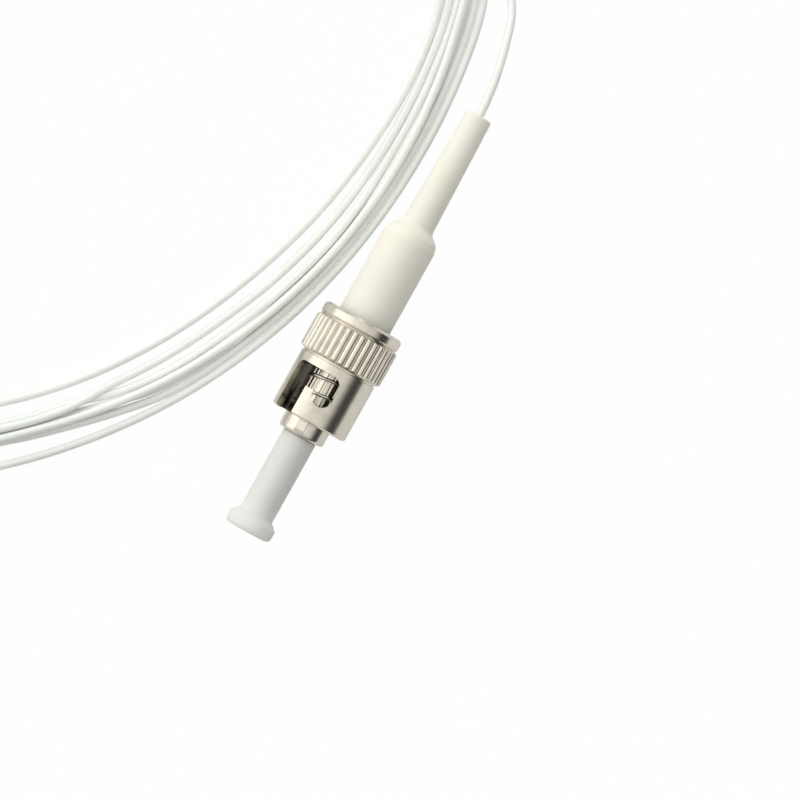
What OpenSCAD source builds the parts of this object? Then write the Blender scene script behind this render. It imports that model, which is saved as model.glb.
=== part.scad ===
// ST bayonet fibre connector on a tight-buffered pigtail, lying on its knurled nut.
// The connector's axis runs along X, with the ferrule at +X and the boot at -X.
// Lengths are in millimetres and Z is up. The origin is below the middle, on the floor.

/* [Ferrule] */
// Outside diameter of the ceramic ferrule
ferrule_d = 2.5; // [2.4:0.05:2.6]
// Whole length of the ferrule
ferrule_l = 12.6; // [12:0.1:13.2]
// How far the ferrule stands out of the barrel
ferrule_out = 8.5; // [8:0.1:9]
// Length of the chamfer at the ferrule's tip
ferrule_chamfer = 0.45; // [0.2:0.05:0.6]
// Outside diameter of the metal stem that holds the ferrule
holder_d = 3.4; // [3.2:0.05:3.6]
// Depth of the ferrule's seat in its stem
ferrule_seat_l = 3.6; // [3:0.1:4]

/* [Fibre] */
// Diameter of the bare glass
glass_d = 0.125; // [0.1:0.005:0.15]
// Diameter of the coated fibre
coating_d = 0.25; // [0.2:0.01:0.3]
// Diameter of the tight buffer, which is the cord
buffer_d = 0.9; // [0.8:0.05:1]
// Length of the countersink where the coating enters the ferrule
countersink_l = 0.3; // [0.2:0.05:0.5]
// Length of the glue funnel behind the ferrule
funnel_l = 1.2; // [1:0.1:1.6]
// Diameter of the glue funnel
funnel_d = 1; // [0.8:0.05:1.2]
// Length of coated fibre between the buffer and the funnel
coating_free_l = 1.6; // [1:0.1:2.5]

/* [Barrel] */
// Diameter of the keyed front ring
ring_d = 5.25; // [5:0.05:5.4]
// Length of the keyed front ring
ring_l = 2.8; // [2.4:0.1:3.2]
// How far the ring stands out of the coupling nut
ring_out = 1.72; // [1.4:0.02:2]
// Radius of the ring's front edge
ring_round = 0.35; // [0.2:0.05:0.5]
// Width of the key on the ring
key_w = 1.05; // [0.8:0.05:1.2]
// Height of the key over the ring
key_h = 0.4; // [0.2:0.05:0.5]
// Angle of the key from straight up, towards -Y
key_angle = 8; // [0:1:20]
// Diameter of the smooth land that the nut runs on
land_d = 4.2; // [4.1:0.05:4.3]
// Number of flutes along the shank
flute_count = 18; // [14:1:22]
// Depth of the flutes
flute_depth = 0.16; // [0.1:0.02:0.2]
// Length of plain shank between the flutes and the ring
flute_stop = 0.3; // [0.2:0.05:0.5]
// Diameter of the bore for the stem of the rear body
spigot_d = 3; // [2.8:0.05:3.1]
// Length of that bore
spigot_l = 4; // [3:0.1:4.5]
// Diameter of the bore for the guide tube
guide_d = 1.45; // [1.4:0.02:1.6]

/* [Coupling nut] */
// Diameter over the knurl
knurl_d = 9.6; // [9.3:0.05:10]
// Length of the knurl
knurl_l = 4.2; // [3.6:0.1:5]
// Number of ridges round the knurl
ridge_count = 34; // [30:1:38]
// Depth of the knurl
ridge_depth = 0.3; // [0.2:0.02:0.36]
// Length of the chamfer at each end of the knurl
knurl_chamfer = 0.3; // [0.1:0.05:0.5]
// Width of the turned groove between the knurl and the sleeve
relief_w = 0.2; // [0.1:0.05:0.3]
// Depth of that groove
relief_depth = 0.12; // [0.05:0.01:0.2]
// Diameter of the slotted sleeve
sleeve_d = 8.75; // [8.6:0.05:8.9]
// Length of the slotted sleeve
sleeve_l = 6.79; // [6.5:0.05:7.2]
// Bore of the slotted sleeve
sleeve_bore = 7.1; // [7:0.05:7.3]
// Diameter of the smooth collar behind the knurl
collar_d = 9.2; // [9:0.05:9.3]
// Length of the smooth collar
collar_l = 1.33; // [1:0.05:1.6]
// Thickness of the inner web that runs on the barrel
web_t = 0.88; // [0.7:0.02:1.1]
// Depth of the recess behind the web
recess_l = 1.66; // [1.6:0.02:1.9]
// How far the nut slides forward against its spring
nut_travel = 2.2; // [1.8:0.1:2.4]

/* [Bayonet slot] */
// Width of the entry channel
channel_w = 2.6; // [2.4:0.05:2.7]
// Angle of the entry channel from straight up, towards -Y
channel_angle = 45; // [42:1:48]
// Width of the passage round the nut
passage_w = 2.32; // [2.2:0.02:2.4]
// Distance of the passage from the knurl
passage_offset = 1.17; // [1:0.02:1.3]
// Diameter of the lock pocket
pocket_d = 2.36; // [2.2:0.02:2.4]
// How far the lock pocket lies ahead of the passage
pocket_step = 1.33; // [1.1:0.02:1.5]
// Corner radius where channel and passage meet
slot_corner = 0.85; // [0.6:0.05:1.1]

/* [Spring] */
// Diameter of the spring wire
wire_d = 0.36; // [0.3:0.02:0.4]
// Mean diameter of the spring
coil_d = 4.84; // [4.75:0.02:4.86]
// Number of free turns
spring_turns = 4; // [3:1:5]
// Turn angle of the spring's ends from straight up
spring_start = 50; // [-180:10:180]
// Thickness of the thrust washer
washer_t = 0.35; // [0.25:0.05:0.4]
// Outside diameter of the thrust washer
washer_d = 6.5; // [6:0.1:6.7]

/* [Retaining clip] */
// Outside diameter of the clip
clip_d = 5.7; // [5.4:0.05:5.9]
// Thickness of the clip
clip_t = 0.34; // [0.3:0.02:0.4]
// Depth of its groove in the barrel
groove_depth = 0.35; // [0.25:0.02:0.4]
// Opening of the clip, as an angle
clip_gap = 80; // [60:5:100]

/* [Rear body and crimp] */
// Diameter of the rear body's shoulder
shoulder_d = 4.3; // [4.2:0.05:4.4]
// Length of the rear body's shoulder
shoulder_l = 0.7; // [0.5:0.05:0.9]
// Diameter of the grooved rear post
post_d = 3.4; // [3.3:0.05:3.5]
// Length of the grooved rear post
post_l = 5.5; // [5:0.1:6]
// Number of grip grooves on the rear post
groove_count = 7; // [5:1:8]
// Outside diameter of the crimp sleeve
crimp_d = 4.3; // [4.2:0.05:4.4]
// Wall of the guide tube
guide_wall = 0.2; // [0.14:0.02:0.22]
// How far the guide tube reaches behind the rear post
guide_reach = 8; // [6:0.5:9]

/* [Boot] */
// Diameter of the boot's wide part
boot_d = 6.05; // [5.8:0.05:6.2]
// Visible length of the wide part
boot_body_l = 9.86; // [9.5:0.05:11]
// How far the boot reaches into the nut
boot_insert = 0.6; // [0.4:0.05:0.7]
// Length of the boot's shoulder
boot_shoulder_l = 1.7; // [1.4:0.1:2]
// Length of the slim tail
boot_tail_l = 13.4; // [12.5:0.1:15]
// Diameter at the front of the slim tail
tail_front_d = 3.6; // [3.3:0.05:3.8]
// Diameter at the rear of the slim tail
tail_rear_d = 2.95; // [2.7:0.05:3.1]
// Radius of the boot's soft edges
boot_round = 0.6; // [0.4:0.05:0.8]

/* [Dust cap] */
// Length of the whole cap
cap_l = 11.6; // [10.8:0.1:12.5]
// Diameter of the cap's tube
cap_tube_d = 3.84; // [3.6:0.02:4]
// Diameter of the cap's grip flange
flange_d = 5.35; // [5:0.05:5.6]
// Length of the grip flange
flange_l = 1.5; // [1.2:0.1:1.8]
// Radius of the flange's rounded edges
flange_round = 0.5; // [0.3:0.05:0.6]
// Length of the cone between tube and flange
flange_cone = 0.55; // [0.3:0.05:0.7]

/* [Fits] */
// Radial gap between pieces that are pressed or glued together
seat_gap = 0.01; // [0.005:0.005:0.02]
// Radial gap of the nut and the washer on the barrel
run_gap = 0.05; // [0.03:0.01:0.08]
// Radial gap between the cap and the ferrule
cap_gap = 0.03; // [0.02:0.01:0.05]
// Gap between flat faces that move on each other
face_gap = 0.03; // [0.02:0.01:0.05]
// Gap at the closed end of the cap and of other blind seats
end_gap = 0.2; // [0.1:0.05:0.3]

/* [Coil] */
// Width of the coiled bundle
coil_w = 7.5; // [5.5:0.1:7.5]
// Height of the coiled bundle
coil_h = 1.8; // [0.9:0.1:2.7]

/* [Hidden] */
$fn = 96;

// Stations along the axis, from the boot's tip to the end of the cap.
nut_l = collar_l + knurl_l + sleeve_l;
total_l = boot_tail_l + boot_shoulder_l + boot_body_l + nut_l + ring_out + cap_l;
x_tip = -total_l / 2;
x_tail = x_tip + boot_tail_l;
x_wide = x_tail + boot_shoulder_l;
x_nut = x_wide + boot_body_l;
x_knurl = x_nut + collar_l;
x_sleeve = x_knurl + knurl_l;
x_nut_front = x_sleeve + sleeve_l;
x_front = x_nut_front + ring_out;
x_end = x_front + cap_l;
x_boot_front = x_nut + boot_insert;
x_web = x_nut + recess_l;
x_web_front = x_web + web_t;
x_washer = x_web_front + face_gap;
x_spring = x_washer + washer_t;
x_ring = x_front - ring_l;
x_clip = x_web - face_gap - clip_t;
x_shank = x_spring + nut_travel + face_gap;
axis_h = knurl_d / 2;

// Ferrule and fibre.
x_ferrule_tip = x_front + ferrule_out;
x_ferrule = x_ferrule_tip - ferrule_l;
x_holder_front = x_ferrule + ferrule_seat_l;
x_holder = x_ferrule - funnel_l;
x_coating_end = x_ferrule + countersink_l / 2;
x_buffer_end = x_holder - coating_free_l;

// Barrel and rear body.
x_barrel = x_boot_front - 1.5;
x_rear_shoulder = x_barrel - seat_gap - shoulder_l;
x_post = x_rear_shoulder - post_l;
groove_d = land_d - 2 * groove_depth;
guide_outer_d = guide_d - 2 * seat_gap;
guide_bore = guide_outer_d - 2 * guide_wall;

// Bayonet slot.
x_passage = x_sleeve + passage_offset;
x_lock = x_passage + passage_w / 2 + pocket_step;
lock_angle = 1;

// The free cord leaves the boot's tip and comes down to the floor, where it joins the coil.
cord_r = buffer_d / 2;
lead_points = [
    [x_tip, 0, axis_h], [-27.2, -0.12, 4.75], [-29.7, -0.45, 4.2], [-33.3, -1.25, 3.1],
    [-36.95, -2.45, 1.95], [-39.6, -4.5, 1.2], [-41.7, -7.6, 0.7], [-43.1, -11.1, 0.48],
    [-43.71, -14.6, cord_r]
];

// The coil's outline: one wide bow towards the connector, closed round four corners.
bow_centre = [-19.5, -73.3];
bow_r = 70.25;
corner_r = 10.8;
bow_from = 41.5;
bow_to = 103.5;
far_corners = [[-27, -47.4], [4, -47.4]];

// Draws something round the connector's axis: its own X is +Y, its own Y is up, its Z is +X.
module on_axis() {
    translate([0, 0, axis_h]) rotate([90, 0, 90]) children();
}

// A solid of revolution about the axis, from points of [station, radius].
module turned(points) {
    on_axis() rotate_extrude() polygon([for (p = points) [p[1], p[0]]]);
}

// A plain round bar or hole along the axis.
module bar(x0, x1, d) {
    on_axis() translate([0, 0, x0]) cylinder(h = x1 - x0, d = d);
}

// Points of an arc about [x, r], in the order of its two angles.
function arc(x, r, radius, from, to, steps = 8) =
    [for (i = [0:steps]) let (a = from + (to - from) * i / steps)
        [x + radius * cos(a), r + radius * sin(a)]];

// Places a cutter that points outwards at an angle from straight up, towards +Y.
module outwards(angle, x) {
    on_axis() rotate([0, 0, 90 - angle]) translate([0, 0, x]) rotate([0, 90, 0]) children();
}

module ferrule() {
    r = ferrule_d / 2;
    color("ivory") difference() {
        turned([
            [x_ferrule, 0], [x_ferrule, r - 0.1], [x_ferrule + 0.1, r],
            [x_ferrule_tip - ferrule_chamfer, r],
            [x_ferrule_tip - 0.06, r * 0.66], [x_ferrule_tip, r * 0.4], [x_ferrule_tip, 0]
        ]);
        bar(x_ferrule - 1, x_ferrule_tip + 1, glass_d + seat_gap);
        turned([
            [x_ferrule - 0.1, 0], [x_ferrule - 0.1, coating_d / 2 + seat_gap],
            [x_ferrule + countersink_l / 2 + seat_gap, coating_d / 2 + seat_gap],
            [x_ferrule + countersink_l, 0]
        ]);
    }
}

module ferrule_holder() {
    color("silver") difference() {
        bar(x_holder, x_holder_front, holder_d);
        bar(x_ferrule, x_holder_front + 1, ferrule_d + 2 * seat_gap);
        bar(x_holder - 1, x_ferrule + 1, funnel_d);
    }
}

module glass_fibre() {
    color("lightcyan") bar(x_coating_end, x_ferrule_tip, glass_d);
}

module fibre_coating() {
    color("lightblue") bar(x_buffer_end, x_coating_end, coating_d);
}

module adhesive_fill() {
    color("goldenrod") difference() {
        bar(x_holder, x_ferrule - seat_gap, funnel_d - 2 * seat_gap);
        bar(x_holder - 1, x_ferrule + 1, coating_d + 2 * seat_gap);
    }
}

module inner_buffer() {
    color("white") bar(x_tip, x_buffer_end, buffer_d);
}

module guide_tube() {
    color("whitesmoke") difference() {
        bar(x_post - guide_reach, x_buffer_end, guide_outer_d);
        bar(x_post - guide_reach - 1, x_buffer_end + 1, guide_bore);
    }
}

// The flutes are round-bottomed grooves along the shank.
module shank_flutes() {
    flute_d = 0.5 * PI * land_d / flute_count;
    for (i = [0:flute_count - 1])
        on_axis() rotate([0, 0, i * 360 / flute_count])
            translate([land_d / 2 + flute_d / 2 - flute_depth, 0, x_shank])
                cylinder(h = x_ring - flute_stop - x_shank, d = flute_d, $fn = 24);
}

module barrel() {
    r = ring_d / 2;
    edge = arc(x_front - ring_round, r - ring_round, ring_round, 90, 0);
    color("silver") difference() {
        union() {
            turned(concat(
                [[x_barrel, 0], [x_barrel, land_d / 2 - 0.15], [x_barrel + 0.15, land_d / 2],
                 [x_ring, land_d / 2], [x_ring, r - 0.12], [x_ring + 0.12, r]],
                edge, [[x_front, 0]]));
            barrel_key();
        }
        shank_flutes();
        on_axis() translate([0, 0, x_clip - face_gap / 2]) difference() {
            cylinder(h = clip_t + face_gap, d = land_d + 1);
            translate([0, 0, -1]) cylinder(h = clip_t + 3, d = groove_d);
        }
        bar(x_barrel - 1, x_barrel + spigot_l, spigot_d);
        bar(x_barrel, x_holder, guide_d);
        bar(x_holder - seat_gap, x_front + 1, holder_d + 2 * seat_gap);
    }
}

// The key is a flat-topped rib with a bevelled front, on the left of the top.
module barrel_key() {
    on_axis() rotate([0, 0, key_angle]) translate([key_w / 2, 0, 0]) rotate([0, -90, 0])
        key_profile();
}

module key_profile() {
    top = ring_d / 2 + key_h;
    linear_extrude(key_w) polygon([
        [x_ring + 0.3, holder_d / 2 + 0.3], [x_ring + 0.3, top],
        [x_front - 0.6, top], [x_front - 0.25, top - 0.3], [x_front - 0.25, holder_d / 2 + 0.3]
    ]);
}

module rear_body() {
    groove_pitch = post_l / groove_count;
    color("silver") difference() {
        union() {
            bar(x_rear_shoulder, x_barrel + spigot_l - end_gap, spigot_d - 2 * seat_gap);
            turned([
                [x_rear_shoulder, 0], [x_rear_shoulder, shoulder_d / 2 - 0.1],
                [x_rear_shoulder + 0.1, shoulder_d / 2], [x_barrel - seat_gap, shoulder_d / 2],
                [x_barrel - seat_gap, 0]
            ]);
            bar(x_post, x_rear_shoulder, post_d);
        }
        for (i = [0:groove_count - 1])
            on_axis() translate([0, 0, x_post + (i + 0.3) * groove_pitch]) difference() {
                cylinder(h = 0.4 * groove_pitch, d = post_d + 1);
                translate([0, 0, -1]) cylinder(h = groove_pitch + 2, d = post_d - 0.3);
            }
        bar(x_post - 1, x_barrel + spigot_l + 1, guide_d);
    }
}

module crimp_sleeve() {
    color("gold") difference() {
        bar(x_post, x_rear_shoulder - face_gap, crimp_d);
        bar(x_post - 1, x_rear_shoulder + 1, post_d + 2 * seat_gap);
    }
}

module retaining_clip() {
    color("dimgray") on_axis() translate([0, 0, x_clip]) difference() {
        cylinder(h = clip_t, d = clip_d);
        translate([0, 0, -1]) cylinder(h = clip_t + 2, d = groove_d + 2 * seat_gap);
        translate([0, 0, -1]) rotate([0, 0, -90 - clip_gap / 2])
            rotate_extrude(angle = clip_gap) square([clip_d, clip_t + 2]);
    }
}

// Station of the wire's centre after a share of the spring's turns: closed, open, closed.
function spring_at(turn) =
    let (low = x_spring + wire_d / 2, high = x_ring - wire_d / 2, closed = wire_d * 1.02,
         open = (high - low - 2 * closed) / spring_turns)
    turn < 1 ? low + closed * turn
    : turn < 1 + spring_turns ? low + closed + open * (turn - 1)
    : high - closed * (spring_turns + 2 - turn);

module spring() {
    per_turn = 24;
    sides = 8;
    rings = (spring_turns + 2) * per_turn;
    points = [for (i = [0:rings]) let (turn = i / per_turn, a = spring_start - 360 * turn)
        for (j = [0:sides - 1]) let (b = 360 * j / sides, r = coil_d / 2 + wire_d / 2 * cos(b))
            [spring_at(turn) + wire_d / 2 * sin(b), r * sin(a), axis_h + r * cos(a)]];
    color("lightsteelblue") polyhedron(points = points, faces = tube_faces(rings, sides));
}

// Faces of a tube of rings, closed at both ends.
function tube_faces(rings, sides) = concat(
    [[for (j = [0:sides - 1]) j]],
    [for (i = [0:rings - 1], j = [0:sides - 1]) let (k = (j + 1) % sides)
        [i * sides + j, (i + 1) * sides + j, (i + 1) * sides + k, i * sides + k]],
    [[for (j = [sides - 1:-1:0]) rings * sides + j]]);

module thrust_washer() {
    color("gray") difference() {
        bar(x_washer, x_washer + washer_t, washer_d);
        bar(x_washer - 1, x_washer + washer_t + 1, land_d + 2 * run_gap);
    }
}

// The knurl's section: a round core with a rounded ridge at each step, the first at the bottom.
module knurl_section() {
    root_r = knurl_d / 2 - ridge_depth;
    ridge_r = 0.46 * PI * knurl_d / ridge_count;
    circle(r = root_r);
    for (i = [0:ridge_count - 1])
        rotate(i * 360 / ridge_count - 90) translate([knurl_d / 2 - ridge_r, 0])
            circle(r = ridge_r, $fn = 24);
}

module nut_knurl() {
    r = knurl_d / 2 + 0.01;
    low = r - ridge_depth - 0.1;
    intersection() {
        on_axis() translate([0, 0, x_knurl]) linear_extrude(knurl_l) knurl_section();
        turned([
            [x_knurl - 1, 0], [x_knurl - 1, low], [x_knurl, low], [x_knurl + knurl_chamfer, r],
            [x_sleeve - knurl_chamfer, r], [x_sleeve, low], [x_sleeve + 1, low], [x_sleeve + 1, 0]
        ]);
    }
}

module nut_blank() {
    s = sleeve_d / 2;
    c = collar_d / 2;
    turned([
        [x_nut, 0], [x_nut, c - 0.3], [x_nut + 0.3, c], [x_knurl - 0.25, c],
        [x_knurl, c - 0.15], [x_sleeve - 0.1, c - 0.15], [x_sleeve - 0.1, s - relief_depth],
        [x_sleeve + relief_w, s - relief_depth], [x_sleeve + relief_w + 0.05, s],
        [x_nut_front - 0.2, s], [x_nut_front, s - 0.2], [x_nut_front, 0]
    ]);
    nut_knurl();
}

// One bayonet slot: a straight entry, a passage round the nut, and a round pocket ahead of it.
module bayonet_slot() {
    inside = sleeve_bore / 2 - 0.4;
    depth = sleeve_d / 2 - inside + 1;
    mid = x_passage + passage_w / 2;
    // The outwards frame's own X runs backwards along the axis, and its Y towards -Y.
    outwards(-channel_angle, 0) translate([0, 0, inside]) linear_extrude(depth) {
        entry = x_nut_front + 1 - x_passage - slot_corner;
        translate([-x_nut_front - 1, -channel_w / 2]) square([entry, channel_w]);
        translate([-x_passage - slot_corner - 0.1, -channel_w / 2])
            square([slot_corner + 0.1, channel_w - slot_corner]);
        translate([-x_passage - slot_corner, channel_w / 2 - slot_corner]) circle(r = slot_corner);
    }
    on_axis() rotate([0, 0, 90 - lock_angle]) rotate_extrude(angle = channel_angle + lock_angle)
        translate([inside, x_passage]) square([depth, passage_w]);
    outwards(lock_angle, mid) translate([0, 0, inside]) cylinder(h = depth, d = passage_w);
    outwards(lock_angle, x_lock) translate([0, 0, inside]) cylinder(h = depth, d = pocket_d);
    outwards(lock_angle, mid) translate([mid - x_lock, -passage_w / 2, inside])
        cube([x_lock - mid, passage_w, depth]);
}

module coupling_nut() {
    color("silver") difference() {
        nut_blank();
        bar(x_web_front, x_nut_front + 1, sleeve_bore);
        bar(x_nut - 1, x_nut_front, land_d + 2 * run_gap);
        bar(x_nut - 1, x_web, boot_d + 2 * end_gap);
        bayonet_slot();
        translate([0, 0, 2 * axis_h]) rotate([180, 0, 0]) bayonet_slot();
    }
}

module boot() {
    wide = boot_d / 2;
    front = tail_front_d / 2;
    rear = tail_rear_d / 2;
    bend = boot_round;
    color("ivory") difference() {
        turned(concat(
            [[x_tip, 0]],
            arc(x_tip + 0.25, rear - 0.25, 0.25, 180, 95, 4),
            [[x_tail - 0.4, front - 0.02]],
            [for (i = [0:10]) let (t = i / 10, s = t * t * (3 - 2 * t))
                [x_tail - 0.1 + t * (boot_shoulder_l - 0.3), front + (wide - bend * 0.25 - front) * s]],
            arc(x_wide + bend * 0.3, wide - bend * 0.3, bend * 0.3, 110, 90, 3),
            [[x_boot_front - 0.1, wide], [x_boot_front, wide - 0.1], [x_boot_front, 0]]));
        bar(x_post - face_gap, x_boot_front + 1, max(crimp_d, shoulder_d) + 2 * run_gap);
        bar(x_post - guide_reach - face_gap, x_boot_front, guide_outer_d + 2 * run_gap);
        bar(x_tip - 1, x_boot_front, buffer_d + 2 * seat_gap);
    }
}

module dust_cap() {
    tube = cap_tube_d / 2;
    grip = flange_d / 2;
    x_grip = x_end - flange_l;
    e = flange_round;
    color("gainsboro", 0.7) difference() {
        turned(concat(
            [[x_front + face_gap, 0], [x_front + face_gap, tube - 0.1],
             [x_front + face_gap + 0.1, tube], [x_grip - flange_cone, tube]],
            arc(x_grip + e * 0.6, grip - e * 0.6, e * 0.6, 150, 90, 4),
            arc(x_end - e, grip - e, e, 90, 0),
            [[x_end, 0]]));
        bar(x_front - 1, x_ferrule_tip + end_gap, ferrule_d + 2 * cap_gap);
        turned([
            [x_front - 1, 0], [x_front - 1, ferrule_d / 2 + 1], [x_front + face_gap, ferrule_d / 2 + 0.3],
            [x_front + face_gap + 0.3, ferrule_d / 2 + cap_gap - 0.01],
            [x_front + face_gap + 0.3, 0]
        ]);
    }
}

// A point on the smooth curve through the lead's points, at a share t between points i and i + 1.
function lead_at(i, t) =
    let (n = len(lead_points) - 1, p = lead_points[max(i - 1, 0)], q = lead_points[i],
         r = lead_points[i + 1], s = lead_points[min(i + 2, n)])
    q + t / 2 * (r - p) + t * t / 2 * (2 * p - 5 * q + 4 * r - s)
        + t * t * t / 2 * (3 * q - p - 3 * r + s);

function unit(v) = v / norm(v);

module cord_lead() {
    steps = 2;
    sides = 8;
    line = concat(
        [for (i = [0:len(lead_points) - 2], k = [0:steps - 1]) lead_at(i, k / steps)],
        [lead_points[len(lead_points) - 1]]);
    last = len(line) - 1;
    points = [for (i = [0:last])
        let (along = i == 0 ? [-1, 0, 0] : unit(line[min(i + 1, last)] - line[i - 1]),
             side = unit(cross(along, [0, 0, 1])), up = cross(side, along))
        for (j = [0:sides - 1]) let (b = 360 * (j + 0.5) / sides)
            line[i] + cord_r * (cos(b) * side + sin(b) * up)];
    color("white") polyhedron(points = points, faces = tube_faces(last, sides));
}

function polar(centre, radius, angle) = centre + radius * [cos(angle), sin(angle)];

// Points of a bow about a centre, without its first one.
function bow(centre, radius, from, to, steps) =
    [for (i = [1:steps]) polar(centre, radius, from + (to - from) * i / steps)];

// The angle that points out of a loop at the straight stretch from one corner to the next.
function facing(from, to) = atan2(to.y - from.y, to.x - from.x) - 90;

// The coil's outline, drawn in by an inset.
function loop_outline(inset) =
    let (first = polar(bow_centre, bow_r - corner_r, bow_to),
         third = polar(bow_centre, bow_r - corner_r, bow_from),
         out_a = facing(first, far_corners[0]) + 360,
         out_b = facing(far_corners[0], far_corners[1]) + 360,
         out_c = facing(far_corners[1], third) + 360)
    concat(
        bow(bow_centre, bow_r - inset, bow_from, bow_to, 24),
        bow(first, corner_r - inset, bow_to, out_a, 12),
        bow(far_corners[0], corner_r - inset, out_a, out_b, 8),
        bow(far_corners[1], corner_r - inset, out_b, out_c, 4),
        bow(third, corner_r - inset, out_c, bow_from + 360, 12));

module cord_coil() {
    color("white") linear_extrude(coil_h) difference() {
        polygon(loop_outline(0));
        polygon(loop_outline(coil_w));
    }
}

ferrule();
ferrule_holder();
glass_fibre();
fibre_coating();
adhesive_fill();
inner_buffer();
guide_tube();
barrel();
rear_body();
crimp_sleeve();
retaining_clip();
spring();
thrust_washer();
coupling_nut();
boot();
dust_cap();
cord_lead();
cord_coil();
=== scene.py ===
"""Finish, cord and studio for a bayonet fibre connector on a coiled pigtail.

Lengths are in metres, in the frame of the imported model: X along the connector, Z up.
"""
import math

import bmesh
import bpy
from bpy.props import FloatProperty, IntProperty, PointerProperty
from mathutils import Matrix, Vector


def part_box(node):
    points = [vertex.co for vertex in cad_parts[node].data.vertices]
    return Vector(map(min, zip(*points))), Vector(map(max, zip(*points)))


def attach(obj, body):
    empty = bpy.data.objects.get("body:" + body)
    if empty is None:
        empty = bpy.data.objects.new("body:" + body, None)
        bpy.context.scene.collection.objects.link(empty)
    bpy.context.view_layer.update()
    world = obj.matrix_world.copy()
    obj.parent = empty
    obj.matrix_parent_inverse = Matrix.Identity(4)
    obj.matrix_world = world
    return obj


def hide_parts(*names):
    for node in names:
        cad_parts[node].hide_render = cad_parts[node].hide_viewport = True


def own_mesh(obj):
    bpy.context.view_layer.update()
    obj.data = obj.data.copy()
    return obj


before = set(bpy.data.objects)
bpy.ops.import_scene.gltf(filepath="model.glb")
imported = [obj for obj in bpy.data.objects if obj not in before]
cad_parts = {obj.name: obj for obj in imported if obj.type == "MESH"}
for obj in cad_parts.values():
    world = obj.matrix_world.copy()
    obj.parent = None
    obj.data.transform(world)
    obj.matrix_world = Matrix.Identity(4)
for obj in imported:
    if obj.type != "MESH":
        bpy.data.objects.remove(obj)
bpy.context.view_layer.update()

bl_info = {
    "name": "Fibre Connector Studio",
    "version": (1, 0, 0),
    "blender": (4, 5, 0),
    "location": "View3D > Sidebar > Connector",
    "description": "Builds the finish, the cord and the studio of a fibre connector",
    "category": "Object",
}

MM = 0.001
AXIS_HEIGHT = 4.8 * MM


class ConnectorSettings(bpy.types.PropertyGroup):
    cord_diameter: FloatProperty(
        name="Cord diameter", description="Diameter of the tight buffer",
        default=0.9 * MM, min=0.5 * MM, max=3 * MM, subtype="DISTANCE", precision=5,
    )
    cord_length: FloatProperty(
        name="Cord length", description="Real length of the free cord",
        default=1.5, min=0.5, max=3.0, subtype="DISTANCE",
    )
    cord_sides: IntProperty(
        name="Cord sides", description="Faces round the cord", default=16, min=8, max=32,
    )
    view_width: FloatProperty(
        name="View width", description="Width of the view at the connector's axis",
        default=85.1 * MM, min=40 * MM, max=300 * MM, subtype="DISTANCE",
    )
    lens: FloatProperty(
        name="Lens", description="Focal length of the camera in millimetres",
        default=200.0, min=50.0, max=400.0,
    )


# ---------------------------------------------------------------- node helpers

def link_all(tree, *pairs):
    """Links pairs of sockets."""
    for start, end in pairs:
        tree.links.new(start, end)


def place(tree, kind, x, y, **settings):
    """A new node at a place, with its settings."""
    node = tree.nodes.new(kind)
    node.location = (x, y)
    for name, value in settings.items():
        setattr(node, name, value)
    return node


def add_socket(tree, name, kind, direction, default=None):
    """Adds an input or output to a group, with its default where it has one."""
    item = tree.interface.new_socket(name=name, in_out=direction, socket_type=kind)
    if default is not None:
        item.default_value = default


def grain_group():
    """Node group: a fine uneven surface, as a bump and as a value from 0 to 1."""
    name = "Fine grain"
    if name in bpy.data.node_groups:
        return bpy.data.node_groups[name]
    tree = bpy.data.node_groups.new(name, "ShaderNodeTree")
    add_socket(tree, "Scale", "NodeSocketFloat", "INPUT", 2000.0)
    add_socket(tree, "Depth", "NodeSocketFloat", "INPUT", 0.01 * MM)
    add_socket(tree, "Normal", "NodeSocketVector", "OUTPUT")
    add_socket(tree, "Value", "NodeSocketFloat", "OUTPUT")
    start = place(tree, "NodeGroupInput", -600, 0)
    coords = place(tree, "ShaderNodeTexCoord", -600, 200)
    noise = place(tree, "ShaderNodeTexNoise", -380, 100)
    noise.inputs["Detail"].default_value = 5.0
    noise.inputs["Roughness"].default_value = 0.6
    bump = place(tree, "ShaderNodeBump", -120, 0)
    end = place(tree, "NodeGroupOutput", 120, 0)
    link_all(
        tree,
        (coords.outputs["Object"], noise.inputs["Vector"]),
        (start.outputs["Scale"], noise.inputs["Scale"]),
        (noise.outputs["Fac"], bump.inputs["Height"]),
        (start.outputs["Depth"], bump.inputs["Distance"]),
        (bump.outputs["Normal"], end.inputs["Normal"]),
        (noise.outputs["Fac"], end.inputs["Value"]),
    )
    return tree


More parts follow.
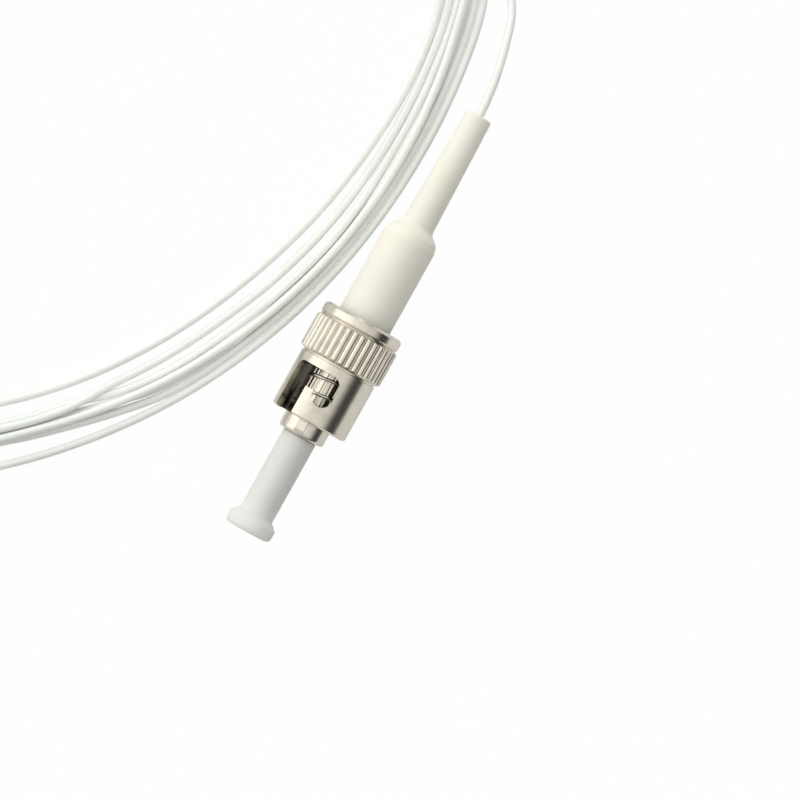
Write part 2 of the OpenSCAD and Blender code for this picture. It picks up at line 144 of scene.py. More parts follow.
def turned_group():
    """Node group: fine lathe rings along X, as a bump and as a value from 0 to 1."""
    name = "Lathe rings"
    if name in bpy.data.node_groups:
        return bpy.data.node_groups[name]
    tree = bpy.data.node_groups.new(name, "ShaderNodeTree")
    add_socket(tree, "Pitch", "NodeSocketFloat", "INPUT", 9000.0)
    add_socket(tree, "Depth", "NodeSocketFloat", "INPUT", 0.003 * MM)
    add_socket(tree, "Normal", "NodeSocketVector", "INPUT")
    add_socket(tree, "Normal", "NodeSocketVector", "OUTPUT")
    add_socket(tree, "Value", "NodeSocketFloat", "OUTPUT")
    start = place(tree, "NodeGroupInput", -800, 0)
    coords = place(tree, "ShaderNodeTexCoord", -800, 220)
    stretch = place(tree, "ShaderNodeMapping", -600, 200)
    stretch.inputs["Scale"].default_value = (1.0, 0.02, 0.02)
    noise = place(tree, "ShaderNodeTexNoise", -380, 100)
    noise.inputs["Detail"].default_value = 3.0
    bump = place(tree, "ShaderNodeBump", -120, 0)
    end = place(tree, "NodeGroupOutput", 120, 0)
    link_all(
        tree,
        (coords.outputs["Object"], stretch.inputs["Vector"]),
        (stretch.outputs["Vector"], noise.inputs["Vector"]),
        (start.outputs["Pitch"], noise.inputs["Scale"]),
        (noise.outputs["Fac"], bump.inputs["Height"]),
        (start.outputs["Depth"], bump.inputs["Distance"]),
        (start.outputs["Normal"], bump.inputs["Normal"]),
        (bump.outputs["Normal"], end.inputs["Normal"]),
        (noise.outputs["Fac"], end.inputs["Value"]),
    )
    return tree


def use_group(tree, group, x, y, **values):
    """A group node with values on its inputs."""
    node = place(tree, "ShaderNodeGroup", x, y)
    node.node_tree = group
    for name, value in values.items():
        node.inputs[name].default_value = value
    return node


def patches_group():
    """Node group: soft patches between two colours."""
    name = "Soft patches"
    if name in bpy.data.node_groups:
        return bpy.data.node_groups[name]
    tree = bpy.data.node_groups.new(name, "ShaderNodeTree")
    add_socket(tree, "First", "NodeSocketColor", "INPUT")
    add_socket(tree, "Second", "NodeSocketColor", "INPUT")
    add_socket(tree, "Scale", "NodeSocketFloat", "INPUT", 500.0)
    add_socket(tree, "Color", "NodeSocketColor", "OUTPUT")
    start = place(tree, "NodeGroupInput", -800, -200)
    coords = place(tree, "ShaderNodeTexCoord", -800, 0)
    noise = place(tree, "ShaderNodeTexNoise", -600, 0)
    noise.inputs["Detail"].default_value = 3.0
    share = place(tree, "ShaderNodeMapRange", -400, 0)
    share.inputs["From Min"].default_value = 0.35
    share.inputs["From Max"].default_value = 0.65
    mix = place(tree, "ShaderNodeMix", -200, 0, data_type="RGBA")
    end = place(tree, "NodeGroupOutput", 0, 0)
    link_all(
        tree,
        (coords.outputs["Object"], noise.inputs["Vector"]),
        (start.outputs["Scale"], noise.inputs["Scale"]),
        (noise.outputs["Fac"], share.inputs["Value"]),
        (share.outputs["Result"], mix.inputs["Factor"]),
        (start.outputs["First"], mix.inputs["A"]),
        (start.outputs["Second"], mix.inputs["B"]),
        (mix.outputs["Result"], end.inputs["Color"]),
    )
    return tree


def mottled(tree, x, y, first, second, scale):
    """The colour output of soft patches between two colours."""
    patches = use_group(
        tree, patches_group(), x, y, First=(*first, 1.0), Second=(*second, 1.0), Scale=scale,
    )
    return patches.outputs["Color"]


def shader(name, colour, roughness, metallic=0.0):
    """A material and its Principled shader."""
    material = bpy.data.materials.new(name)
    material.use_nodes = True
    material.diffuse_color = (*colour, 1.0)
    bsdf = material.node_tree.nodes["Principled BSDF"]
    bsdf.inputs["Base Color"].default_value = (*colour, 1.0)
    bsdf.inputs["Roughness"].default_value = roughness
    bsdf.inputs["Metallic"].default_value = metallic
    return material, bsdf


def bore_group():
    """1 on what lies deep inside the nut, where its shade is painted, 0 on its outside."""
    name = "Bore shade"
    if name in bpy.data.node_groups:
        return bpy.data.node_groups[name]
    tree = bpy.data.node_groups.new(name, "ShaderNodeTree")
    add_socket(tree, "Outside", "NodeSocketFloat", "INPUT", 4.3 * MM)
    add_socket(tree, "Inside", "NodeSocketFloat", "INPUT", 3.7 * MM)
    add_socket(tree, "Mask", "NodeSocketFloat", "OUTPUT")
    start = place(tree, "NodeGroupInput", -800, -200)
    coords = place(tree, "ShaderNodeTexCoord", -1000, 0)
    centred = place(tree, "ShaderNodeMapping", -800, 0)
    centred.inputs["Location"].default_value = (0.0, 0.0, -AXIS_HEIGHT)
    flat = place(tree, "ShaderNodeVectorMath", -600, 0, operation="MULTIPLY")
    flat.inputs[1].default_value = (0.0, 1.0, 1.0)
    far = place(tree, "ShaderNodeVectorMath", -400, 0, operation="LENGTH")
    share = place(tree, "ShaderNodeMapRange", -200, 0)
    end = place(tree, "NodeGroupOutput", 0, 0)
    link_all(
        tree,
        (coords.outputs["Object"], centred.inputs["Vector"]),
        (centred.outputs["Vector"], flat.inputs[0]),
        (flat.outputs["Vector"], far.inputs[0]),
        (far.outputs["Value"], share.inputs["Value"]),
        (start.outputs["Outside"], share.inputs["From Min"]),
        (start.outputs["Inside"], share.inputs["From Max"]),
        (share.outputs["Result"], end.inputs["Mask"]),
    )
    return tree


# ---------------------------------------------------------------- materials

def scaled(colour, factor):
    """A colour made darker or brighter."""
    return tuple(factor * part for part in colour)


def light_inside(bsdf, weight, reach):
    """Lets light spread under a surface, by how far red, green and blue reach."""
    bsdf.inputs["Subsurface Weight"].default_value = weight
    bsdf.inputs["Subsurface Radius"].default_value = reach
    bsdf.inputs["Subsurface Scale"].default_value = 1.0


def patches_and_grain(tree, bsdf, first, second, patches, grain, depth):
    """Gives a moulded surface soft patches of two colours and a fine grain."""
    shade = mottled(tree, -200, 300, first, second, patches)
    bump = use_group(tree, grain_group(), -260, -300, Scale=grain, Depth=depth)
    link_all(
        tree,
        (shade, bsdf.inputs["Base Color"]),
        (bump.outputs["Normal"], bsdf.inputs["Normal"]),
    )


def nickel_material(name="satin_nickel", bore=False):
    """Warm satin nickel plate with lathe rings and faint handling marks, with painted shade
    deep in a bore.
    """
    tint = (0.70, 0.655, 0.575)
    material, bsdf = shader(name, tint, 0.24, 1.0)
    tree = material.node_tree
    shade = mottled(tree, -400, 300, scaled(tint, 0.93), scaled(tint, 1.05), 900.0)
    grain = use_group(tree, grain_group(), -500, -300, Scale=5200.0, Depth=0.0006 * MM)
    rings = use_group(tree, turned_group(), -260, -300, Pitch=9000.0, Depth=0.0008 * MM)
    rough = place(tree, "ShaderNodeMapRange", -200, 0)
    rough.inputs["To Min"].default_value = 0.18
    rough.inputs["To Max"].default_value = 0.28
    # Painted shade: deep inside the nut the colour goes to a near-black brown.
    if bore:
        mask = use_group(tree, bore_group(), -400, 500)
        painted_bore_shade = place(tree, "ShaderNodeMix", -180, 400, data_type="RGBA")
        painted_bore_shade.inputs["B"].default_value = (0.13, 0.12, 0.095, 1.0)
        link_all(
            tree,
            (mask.outputs["Mask"], painted_bore_shade.inputs["Factor"]),
            (shade, painted_bore_shade.inputs["A"]),
        )
        shade = painted_bore_shade.outputs["Result"]
    link_all(
        tree,
        (shade, bsdf.inputs["Base Color"]),
        (grain.outputs["Normal"], rings.inputs["Normal"]),
        (rings.outputs["Normal"], bsdf.inputs["Normal"]),
        (grain.outputs["Value"], rough.inputs["Value"]),
        (rough.outputs["Result"], bsdf.inputs["Roughness"]),
    )
    return material


def steel_material(name, tint, roughness):
    """Plain bright metal with drawing marks."""
    material, bsdf = shader(name, tint, roughness, 1.0)
    tree = material.node_tree
    rings = use_group(tree, turned_group(), -260, -300, Pitch=14000.0, Depth=0.002 * MM)
    shade = mottled(tree, -200, 300, scaled(tint, 0.85), tint, 1500.0)
    link_all(
        tree,
        (shade, bsdf.inputs["Base Color"]),
        (rings.outputs["Normal"], bsdf.inputs["Normal"]),
    )
    return material


def ceramic_material():
    """Polished white zirconia with a little light inside it."""
    material, bsdf = shader("white_zirconia", (0.90, 0.87, 0.78), 0.12)
    tree = material.node_tree
    light_inside(bsdf, 0.3, (0.6 * MM, 0.5 * MM, 0.4 * MM))
    shade = mottled(tree, -200, 300, (0.88, 0.85, 0.75), (0.93, 0.90, 0.81), 500.0)
    tree.links.new(shade, bsdf.inputs["Base Color"])
    return material


def boot_material():
    """Soft ivory rubber, matt, with a faint moulded grain."""
    material, bsdf = shader("ivory_rubber", (0.88, 0.85, 0.765), 0.55)
    bsdf.inputs["Specular IOR Level"].default_value = 0.35
    light_inside(bsdf, 0.25, (1.2 * MM, 0.9 * MM, 0.6 * MM))
    patches_and_grain(
        material.node_tree, bsdf, (0.868, 0.838, 0.75), (0.892, 0.866, 0.787),
        patches=260.0, grain=3800.0, depth=0.006 * MM,
    )
    return material


def cap_material():
    """Cloudy natural plastic that lets some light through."""
    material, bsdf = shader("cloudy_plastic", (0.90, 0.93, 0.885), 0.4)
    bsdf.inputs["Transmission Weight"].default_value = 0.18
    bsdf.inputs["IOR"].default_value = 1.45
    light_inside(bsdf, 0.5, (1.5 * MM, 1.7 * MM, 1.6 * MM))
    patches_and_grain(
        material.node_tree, bsdf, (0.885, 0.92, 0.875), (0.925, 0.95, 0.905),
        patches=220.0, grain=2600.0, depth=0.008 * MM,
    )
    return material


def cord_material():
    """Smooth white buffer with a cool cast."""
    material, bsdf = shader("white_buffer", (0.91, 0.93, 0.90), 0.38)
    light_inside(bsdf, 0.3, (0.5 * MM, 0.6 * MM, 0.5 * MM))
    patches_and_grain(
        material.node_tree, bsdf, (0.885, 0.915, 0.875), (0.93, 0.945, 0.915),
        patches=160.0, grain=3000.0, depth=0.003 * MM,
    )
    return material


def plain_material(name, colour, roughness, clear=0.0):
    """A simple finish with slight patches, for pieces that sit inside."""
    material, bsdf = shader(name, colour, roughness)
    tree = material.node_tree
    shade = mottled(tree, -200, 300, scaled(colour, 0.92), colour, 800.0)
    tree.links.new(shade, bsdf.inputs["Base Color"])
    bsdf.inputs["Transmission Weight"].default_value = clear
    return material


def finish_node(name, material):
    """Gives a CAD node its material."""
    node = bpy.data.objects[name]
    node.data.materials.clear()
    node.data.materials.append(material)


# ---------------------------------------------------------------- the cord

# The lead's route from the boot's tip to the coil, in millimetres.
LEAD = (
    (-25.3, 0, 4.8), (-27.2, -0.12, 4.75), (-29.7, -0.45, 4.2), (-33.3, -1.25, 3.1),
    (-36.95, -2.45, 1.95), (-39.6, -4.5, 1.2), (-41.7, -7.6, 0.7), (-43.1, -11.1, 0.48),
)

# The coil's outline: one wide bow towards the connector, closed round four corners.
BOW_CENTRE = Vector((-19.5, -73.3))
BOW_R = 70.25
CORNER_R = 10.8
BOW_FROM = 41.5
BOW_TO = 103.5
FAR_CORNERS = (Vector((-27.0, -47.4)), Vector((4.0, -47.4)))

# Where the lead joins the outline, the distance from turn to turn, the heights of the two
# layers, and the inset of the bundle's middle.
JOIN_ANGLE = 175.0
LANE = 0.94
LOWER = 0.45
UPPER = 1.33
MIDDLE_INSET = 3.3

# Where each turn lies along the bow: its distance in from the outline, by angle.
BOW_ANGLES = (41.5, 45.7, 49.9, 54.1, 58.4, 66.8, 71.0, 79.4, 87.8, 96.1, 103.5)
BOW_INSETS = (
    (0.50, 0.50, 0.50, 0.48, 0.45, 0.46, 0.46, 0.50, 0.52, 0.45, 0.45),
    (2.95, 2.78, 2.45, 1.93, 1.40, 1.41, 1.39, 1.43, 1.45, 1.37, 1.37),
    (3.90, 3.80, 3.60, 3.00, 2.34, 2.35, 2.33, 2.35, 2.38, 2.28, 2.28),
    (4.90, 4.81, 4.78, 3.95, 3.50, 3.38, 3.22, 2.98, 3.30, 3.19, 3.19),
    (4.40, 4.28, 4.40, 4.93, 4.93, 4.83, 4.63, 4.36, 4.22, 4.10, 4.10),
    (7.05, 7.00, 6.87, 6.80, 6.75, 6.63, 6.53, 6.11, 5.62, 5.02, 5.02),
    (3.35, 3.28, 3.10, 2.88, 2.66, 2.30, 2.16, 2.02, 2.06, 2.28, 2.50),
)
BOW_HEIGHTS = {
    3: (LOWER, LOWER, LOWER, LOWER, LOWER, LOWER, 0.70, 1.06, LOWER, LOWER, LOWER),
    4: (UPPER, UPPER, UPPER, 0.55, LOWER, LOWER, LOWER, LOWER, LOWER, LOWER, LOWER),
    6: (UPPER,) * len(BOW_ANGLES),
}
LAST_INSET = 2.3
TOP_GAP = 0.05

# Where a turn shifts and where it climbs, as shares of the last straight stretch, and how
# long it is held level just before that, as a share of the whole turn.
SHIFT_SHARE = 0.1
CLIMB_SHARE = 0.3
HOLD_SHARE = 0.02

# How many turns there are, points on each, points on each stretch of the lead, and the share
# of a turn past the join that the lead's end points to.
TURNS = 9
PER_TURN = 240
LEAD_STEPS = 6
AIM_SHARE = 0.02


def polar(centre, radius, degrees):
    """The point at a radius and an angle from a centre."""
    turn = math.radians(degrees)
    return centre + radius * Vector((math.cos(turn), math.sin(turn)))


def facing(start, end):
    """The angle that points out of the loop at a straight stretch."""
    way = end - start
    return math.degrees(math.atan2(way.y, way.x)) + 270.0


class Loop:
    """The coil's closed line, from the corner where the lead joins it."""

    def __init__(self):
        first = polar(BOW_CENTRE, BOW_R - CORNER_R, BOW_TO)
        last = polar(BOW_CENTRE, BOW_R - CORNER_R, BOW_FROM)
        corners = (first, *FAR_CORNERS, last)
        # An arc is its centre, radius and two angles; a straight has its ends, angle and None.
        self.parts, angle = [], JOIN_ANGLE
        for here, there in zip(corners, corners[1:]):
            out = facing(here, there)
            self.parts += [(here, CORNER_R, angle, out), (here, there, out, None)]
            angle = out
        self.parts += [
            (last, CORNER_R, angle, BOW_FROM + 360), (BOW_CENTRE, BOW_R, BOW_FROM, BOW_TO),
            (first, CORNER_R, BOW_TO, JOIN_ANGLE),
        ]
        sizes = [self.size(part) for part in self.parts]
        self.ends = [sum(sizes[:i + 1]) / sum(sizes) for i in range(len(sizes))]

    @staticmethod
    def size(part):
        """The length of a part along the middle of the bundle."""
        if part[3] is None:
            return (part[1] - part[0]).length
        return (part[1] - MIDDLE_INSET) * math.radians(part[3] - part[2])

    def bow_share(self, angle):
        """The share of the loop at an angle of the bow."""
        low, high = self.ends[-3], self.ends[-2]
        return low + (high - low) * (angle - BOW_FROM) / (BOW_TO - BOW_FROM)

    def at(self, share, inset):
        """The point at a share of the loop, drawn in from its outline."""
        i = next((i for i, end in enumerate(self.ends) if share <= end), len(self.ends) - 1)
        start = self.ends[i - 1] if i else 0.0
        t = (share - start) / (self.ends[i] - start)
        a, b, c, d = self.parts[i]
        if d is None:
            return a.lerp(b, t) + polar(Vector((0, 0)), CORNER_R - inset, c)
        return polar(a, b - inset, c + (d - c) * t)


def through(keys, x):
    """A smooth value at x through keys of (x, value), level at both ends."""
    i = next((i for i in range(len(keys) - 1) if x <= keys[i + 1][0]), len(keys) - 2)
    (x0, a), (x1, b) = keys[i], keys[i + 1]
    slopes = [
        (keys[k + 1][1] - keys[k - 1][1]) / (keys[k + 1][0] - keys[k - 1][0])
        if 0 < k < len(keys) - 1 else 0.0
        for k in (i, i + 1)
    ]
    wide = x1 - x0
    t = min(max((x - x0) / wide, 0.0), 1.0)
    return (
        a * (1 + 2 * t) * (1 - t) ** 2 + slopes[0] * wide * t * (1 - t) ** 2
        + b * t * t * (3 - 2 * t) + slopes[1] * wide * t * t * (t - 1)
    )


def turn_keys(loop, turn):
    """The inset and height of a turn along the loop, as two lists of keys."""
    last = len(BOW_INSETS)
    if turn >= last:
        return [(0, LAST_INSET), (1, LAST_INSET)], [(0, UPPER), (1, UPPER)]
    own = LOWER + LANE * turn
    shares = [loop.bow_share(angle) for angle in BOW_ANGLES]
    heights = BOW_HEIGHTS.get(turn, (LOWER,) * len(shares))
    far, near = loop.ends[4], loop.ends[5]
    straight = near - far
    on_top = turn == last - 1
    leaves = far if on_top else near - SHIFT_SHARE * straight
    insets = [(0, own), (leaves - HOLD_SHARE, own), (leaves, own)]
    if on_top:
        insets += [(near, BOW_INSETS[turn][0] + TOP_GAP)]
    insets += [*zip(shares, BOW_INSETS[turn]), (1, LAST_INSET if on_top else own + LANE)]
    rises = leaves - CLIMB_SHARE * straight
    levels = [(0, LOWER), (rises - HOLD_SHARE, LOWER), (rises, LOWER), (leaves, heights[0])]
    levels += [*zip(shares, heights), (1, heights[-1])]
    return insets, levels


def smooth_line(points, steps):
    """Points along the smooth curve through given points."""
    line = []
    last = len(points) - 1
    for i in range(last):
        p, q = points[max(i - 1, 0)], points[i]
        r, s = points[i + 1], points[min(i + 2, last)]
        for k in range(steps):
            t = k / steps
            line.append(
                q + t / 2 * (r - p) + t * t / 2 * (2 * p - 5 * q + 4 * r - s)
                + t * t * t / 2 * (3 * q - p - 3 * r + s)
            )
    line.append(points[-1])
    return line


def cord_line(length):
    """The cord's centreline in metres, cut to its real length."""
    loop = Loop()
    joined = loop.at(0.0, LOWER)
    beyond = loop.at(AIM_SHARE, LOWER)
    knots = [Vector(p) for p in LEAD] + [Vector((*p, LOWER)) for p in (joined, beyond)]
    # The coil brings the point at the join itself, and the last knot only aims the lead.
    line = smooth_line(knots, LEAD_STEPS)[:-LEAD_STEPS - 1]
    for turn in range(TURNS):
        insets, heights = turn_keys(loop, turn)
        for step in range(PER_TURN):
            share = step / PER_TURN
            flat = loop.at(share, through(insets, share))
            line.append(Vector((flat.x, flat.y, through(heights, share))))
    points, total = [line[0] * MM], 0.0
    for a, b in zip(line, line[1:]):
        gap = (b - a).length * MM
        if total + gap >= length:
            points.append((a + (b - a) * ((length - total) / gap)) * MM)
            break
        total += gap
        points.append(b * MM)
    return points


def tube_curve(name, points, radius, sides, material):
    """A round cord as a curve of one open spline."""
    data = bpy.data.curves.new(name, "CURVE")
    data.dimensions = "3D"
    data.bevel_depth = radius
    data.bevel_resolution = max(sides // 4 - 1, 1)
    data.use_fill_caps = True
    data.resolution_u = 1
    spline = data.splines.new("POLY")
    spline.points.add(len(points) - 1)
    for point, place_at in zip(spline.points, points):
        point.co = (*place_at, 1.0)
    spline.use_smooth = True
    data.materials.append(material)
    curve = bpy.data.objects.new(name, data)
    bpy.context.scene.collection.objects.link(curve)
    return curve


class CONNECTOR_OT_cord(bpy.types.Operator):
    """Lays the cord from the boot's tip round its coil"""
    bl_idname = "connector.cord"
    bl_label = "Cord"
    bl_options = {"REGISTER", "UNDO"}

    def execute(self, context):
        settings = context.scene.connector
        points = cord_line(settings.cord_length)
        cord = tube_curve(
            "pigtail", points, settings.cord_diameter / 2, settings.cord_sides, cord_material()
        )
        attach(cord, "root")
        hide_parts("cord_lead", "cord_coil")
        return {"FINISHED"}


# ---------------------------------------------------------------- the spring

# The wire and the coil's middle diameter, its two ends along X, its open turns, the angle at
# which the wire starts, and how far the nut squeezes it.
WIRE_D = 0.36 * MM
COIL_D = 4.84 * MM
SPRING_LOW = 2.58 * MM
SPRING_HIGH = 10.9 * MM
SPRING_TURNS = 4
SPRING_START = 50.0
CLOSED_PITCH = 1.02 * WIRE_D
SPRING_STEPS = 48
WIRE_SIDES = 16


def spring_line():
    """The wire's centreline: one closed turn, the open turns, and one closed turn."""
    low, high = SPRING_LOW + WIRE_D / 2, SPRING_HIGH - WIRE_D / 2
    keys = (
        (0.0, low), (1.0, low + CLOSED_PITCH), (1.0 + SPRING_TURNS, high - CLOSED_PITCH),
        (2.0 + SPRING_TURNS, high),
    )
    points = []
    for i in range((SPRING_TURNS + 2) * SPRING_STEPS + 1):
        turn = i / SPRING_STEPS
        k = int(turn >= 1) + int(turn >= 1 + SPRING_TURNS)
        (t0, x0), (t1, x1) = keys[k], keys[k + 1]
        angle = math.radians(SPRING_START - 360 * turn)
        points.append(Vector((
            x0 + (x1 - x0) * (turn - t0) / (t1 - t0),
            COIL_D / 2 * math.sin(angle), AXIS_HEIGHT + COIL_D / 2 * math.cos(angle),
        )))
    return points


class CONNECTOR_OT_spring(bpy.types.Operator):
    """Winds the spring that pushes the nut back"""
    bl_idname = "connector.spring"
    bl_label = "Spring"
    bl_options = {"REGISTER", "UNDO"}

    def execute(self, context):
        wire = steel_material("spring_steel", (0.62, 0.60, 0.55), 0.24)
        curve = tube_curve("return_spring", spring_line(), WIRE_D / 2, WIRE_SIDES, wire)
        context.view_layer.update()
        mesh = bpy.data.meshes.new_from_object(curve)
        bpy.data.objects.remove(curve)
        spring = bpy.data.objects.new("return_spring", mesh)
        context.scene.collection.objects.link(spring)
        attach(spring, "root")
        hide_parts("spring")
        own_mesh(spring)
        return {"FINISHED"}


# ---------------------------------------------------------------- the connector

class CONNECTOR_OT_metal(bpy.types.Operator):
    """Finishes the nut, the barrel and the small metal pieces"""
    bl_idname = "connector.metal"
    bl_label = "Metal"
    bl_options = {"REGISTER", "UNDO"}

    def execute(self, context):
        finish_node("coupling_nut", nickel_material("nut_nickel", bore=True))
        nickel = nickel_material()
        for name in ("barrel", "rear_body"):
            finish_node(name, nickel)
        finish_node("retaining_clip", steel_material("clip_steel", (0.5, 0.5, 0.5), 0.3))
        stem = steel_material("stem_steel", (0.68, 0.67, 0.65), 0.3)
        finish_node("thrust_washer", stem)
        finish_node("ferrule_holder", stem)
        finish_node("crimp_sleeve", steel_material("drawn_brass", (0.76, 0.6, 0.3), 0.3))
        return {"FINISHED"}


class CONNECTOR_OT_fibre(bpy.types.Operator):
    """Finishes the ferrule, the fibre and what holds it"""
    bl_idname = "connector.fibre"
    bl_label = "Fibre"
    bl_options = {"REGISTER", "UNDO"}

    def execute(self, context):
        finish_node("ferrule", ceramic_material())
        finish_node("glass_fibre", plain_material("bare_glass", (0.9, 0.95, 0.97), 0.05, 0.9))
        finish_node("fibre_coating", plain_material("acrylate", (0.8, 0.88, 0.95), 0.2, 0.5))
        finish_node("adhesive_fill", plain_material("amber_epoxy", (0.75, 0.5, 0.2), 0.25))
        finish_node("inner_buffer", cord_material())
        finish_node("guide_tube", plain_material("guide_plastic", (0.88, 0.88, 0.86), 0.45))
        return {"FINISHED"}


class CONNECTOR_OT_boot(bpy.types.Operator):
    """Finishes the strain relief boot"""
    bl_idname = "connector.boot"
    bl_label = "Boot"
    bl_options = {"REGISTER", "UNDO"}

    def execute(self, context):
        finish_node("boot", boot_material())
        return {"FINISHED"}


class CONNECTOR_OT_cap(bpy.types.Operator):
    """Finishes the dust cap"""
    bl_idname = "connector.cap"
    bl_label = "Dust cap"
    bl_options = {"REGISTER", "UNDO"}

    def execute(self, context):
        finish_node("dust_cap", cap_material())
        return {"FINISHED"}


# ---------------------------------------------------------------- the studio

SENSOR_WIDTH = 36.0
VIEW_CENTRE = (5.15 * MM, 7.39 * MM)
VIEW_RIGHT = Vector((-0.489, 0.873, 0.0))
FLOOR_HALF = 2.0
FLOOR_GLOW = 0.97
MIRRORED_GLOW = 0.4
ROOM_STRENGTH = 1.18
ROOM_BLUE = 0.985


def look_down(context, settings):
    """The camera straight over the connector, turned as a hand would lay it down."""
    data = bpy.data.cameras.new("camera")
    data.lens = settings.lens
    data.sensor_width = SENSOR_WIDTH
    distance = settings.lens / SENSOR_WIDTH * settings.view_width
    data.clip_start = 0.01
    camera = bpy.data.objects.new("camera", data)
    context.scene.collection.objects.link(camera)
    low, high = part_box("coupling_nut")
    axis = (low[2] + high[2]) / 2
    right = VIEW_RIGHT.normalized()
    back = Vector((0.0, 0.0, 1.0))
    up = back.cross(right)
    centre = Vector((*VIEW_CENTRE, axis + distance))
    rows = Matrix((right, up, back)).transposed()
    camera.matrix_world = Matrix.Translation(centre) @ rows.to_4x4()
    context.scene.camera = camera


def floor_material():
    """A white floor that the camera sees as plain white."""
    material = bpy.data.materials.new("white_floor")
    material.use_nodes = True
    tree = material.node_tree
    tree.nodes.clear()
    path = place(tree, "ShaderNodeLightPath", -600, 200)
    matt = place(tree, "ShaderNodeBsdfDiffuse", -400, 0)
    matt.inputs["Color"].default_value = (0.88, 0.88, 0.87, 1.0)
    glow = place(tree, "ShaderNodeEmission", -400, -160)
    glow.inputs["Color"].default_value = (1.0, 1.0, 1.0, 1.0)
    seen = place(tree, "ShaderNodeMixShader", -180, -60)
    seen.inputs["Fac"].default_value = FLOOR_GLOW
    mix = place(tree, "ShaderNodeMixShader", 0, 60)
    end = place(tree, "ShaderNodeOutputMaterial", 200, 0)
    looked = place(tree, "ShaderNodeMath", -400, 260, operation="MAXIMUM")
    through_glass = place(tree, "ShaderNodeMath", -200, 260, operation="MAXIMUM")
    mirrored = place(tree, "ShaderNodeMath", -500, 300, operation="MULTIPLY")
    mirrored.inputs[1].default_value = MIRRORED_GLOW
    link_all(
        tree,
        (matt.outputs["BSDF"], seen.inputs[1]),
        (glow.outputs["Emission"], seen.inputs[2]),
        (path.outputs["Is Camera Ray"], looked.inputs[0]),
        (path.outputs["Is Glossy Ray"], mirrored.inputs[0]),
        (mirrored.outputs["Value"], looked.inputs[1]),
        (looked.outputs["Value"], through_glass.inputs[0]),
        (path.outputs["Is Transmission Ray"], through_glass.inputs[1]),
        (through_glass.outputs["Value"], mix.inputs["Fac"]),
        (matt.outputs["BSDF"], mix.inputs[1]),
        (seen.outputs["Shader"], mix.inputs[2]),
        (mix.outputs["Shader"], end.inputs["Surface"]),
    )
    return material


# Brightness of the room by the angle from straight up towards +Y, in degrees.
ROOM = (
    (-180, 0.70), (-95, 0.9), (-82, 1.3), (-55, 1.42), (-32, 1.22), (-12, 0.92),
    (0, 0.80), (14, 0.78), (34, 0.76), (44, 0.62), (52, 0.28), (60, 0.045), (85, 0.04),
    (94, 0.4), (180, 0.70),
)

# Brightness of the room by how far a direction leans towards +X.
ENDS = ((-1.0, 1.05), (0.05, 1.0), (0.35, 0.72), (0.7, 0.45), (1.0, 0.5))


def fill_ramp(ramp, levels):
    """Sets a ramp's stops from pairs of a place from 0 to 1 and a brightness."""
    elements = ramp.color_ramp.elements
    for at, level in levels[1:-1]:
        elements.new(at).color = (level, level, level * ROOM_BLUE, 1.0)
    for element, (_, level) in zip((elements[0], elements[-1]), (levels[0], levels[-1])):
        element.color = (level, level, level * ROOM_BLUE, 1.0)


def room_light(context):
    """Soft light from overhead and from -Y, with a dark strip low on the +Y side."""
    world = bpy.data.worlds.new("studio")
    context.scene.world = world
    world.use_nodes = True
    tree = world.node_tree
    tree.nodes.clear()
    coords = place(tree, "ShaderNodeTexCoord", -1000, 0)
    split = place(tree, "ShaderNodeSeparateXYZ", -800, 0)
    turn = place(tree, "ShaderNodeMath", -600, 0, operation="ARCTAN2")
    share = place(tree, "ShaderNodeMapRange", -400, 0)
    share.inputs["From Min"].default_value = -math.pi
    share.inputs["From Max"].default_value = math.pi
    ramp = place(tree, "ShaderNodeValToRGB", -200, 0)
    lean = place(tree, "ShaderNodeMapRange", -400, -260)
    lean.inputs["From Min"].default_value = -1.0
    ends = place(tree, "ShaderNodeValToRGB", -200, -260)
    both = place(tree, "ShaderNodeMix", 0, 0, data_type="RGBA", blend_type="MULTIPLY")
    both.inputs["Factor"].default_value = 1.0
    back = place(tree, "ShaderNodeBackground", 200, 0)
    back.inputs["Strength"].default_value = ROOM_STRENGTH
    end = place(tree, "ShaderNodeOutputWorld", 300, 0)
    fill_ramp(ramp, [((angle + 180) / 360, level) for angle, level in ROOM])
    fill_ramp(ends, [((at + 1) / 2, level) for at, level in ENDS])
    link_all(
        tree,
        (coords.outputs["Generated"], split.inputs["Vector"]),
        (split.outputs["Y"], turn.inputs[0]),
        (split.outputs["Z"], turn.inputs[1]),
        (turn.outputs["Value"], share.inputs["Value"]),
        (share.outputs["Result"], ramp.inputs["Fac"]),
        (split.outputs["X"], lean.inputs["Value"]),
        (lean.outputs["Result"], ends.inputs["Fac"]),
        (ramp.outputs["Color"], both.inputs["A"]),
        (ends.outputs["Color"], both.inputs["B"]),
        (both.outputs["Result"], back.inputs["Color"]),
        (back.outputs["Background"], end.inputs["Surface"]),
    )


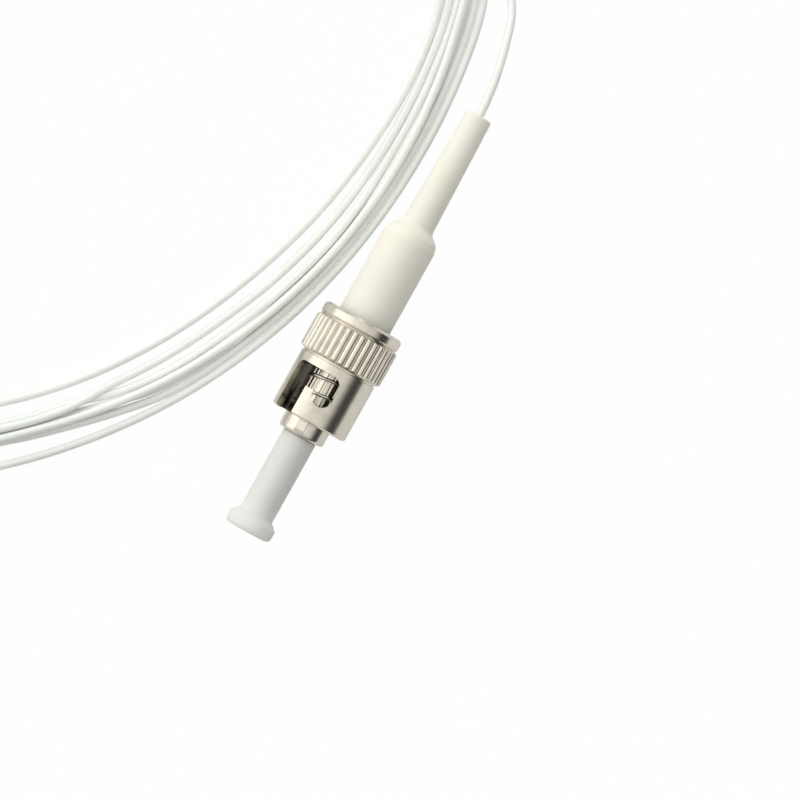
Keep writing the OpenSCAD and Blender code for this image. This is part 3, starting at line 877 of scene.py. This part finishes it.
class CONNECTOR_OT_studio(bpy.types.Operator):
    """Sets the floor, the light and the camera"""
    bl_idname = "connector.studio"
    bl_label = "Studio"
    bl_options = {"REGISTER", "UNDO"}

    def execute(self, context):
        scene = context.scene
        scene.view_settings.view_transform = "Standard"
        scene.view_settings.look = "None"
        look_down(context, scene.connector)
        room_light(context)
        mesh = bpy.data.meshes.new("floor")
        bm = bmesh.new()
        bmesh.ops.create_grid(bm, x_segments=1, y_segments=1, size=FLOOR_HALF)
        bm.to_mesh(mesh)
        bm.free()
        floor = bpy.data.objects.new("floor", mesh)
        floor.data.materials.append(floor_material())
        scene.collection.objects.link(floor)
        return {"FINISHED"}


class CONNECTOR_PT_panel(bpy.types.Panel):
    """Buttons and sizes in the sidebar"""
    bl_label = "Fibre Connector"
    bl_idname = "CONNECTOR_PT_panel"
    bl_space_type = "VIEW_3D"
    bl_region_type = "UI"
    bl_category = "Connector"

    def draw(self, context):
        layout = self.layout
        settings = context.scene.connector
        for name in ("cord_diameter", "cord_length", "cord_sides", "view_width", "lens"):
            layout.prop(settings, name)
        for operator in OPERATORS:
            layout.operator(operator.bl_idname)


OPERATORS = (
    CONNECTOR_OT_studio,
    CONNECTOR_OT_cord,
    CONNECTOR_OT_spring,
    CONNECTOR_OT_metal,
    CONNECTOR_OT_fibre,
    CONNECTOR_OT_boot,
    CONNECTOR_OT_cap,
)
CLASSES = (ConnectorSettings, *OPERATORS, CONNECTOR_PT_panel)


def register():
    for item in CLASSES:
        bpy.utils.register_class(item)
    bpy.types.Scene.connector = PointerProperty(type=ConnectorSettings)


def unregister():
    del bpy.types.Scene.connector
    for item in reversed(CLASSES):
        bpy.utils.unregister_class(item)


def main():
    """Builds the studio, the cord, the spring and each finish."""
    register()
    bpy.ops.connector.studio()
    bpy.ops.connector.cord()
    bpy.ops.connector.spring()
    bpy.ops.connector.metal()
    bpy.ops.connector.fibre()
    bpy.ops.connector.boot()
    bpy.ops.connector.cap()


if __name__ == "__main__":
    main()
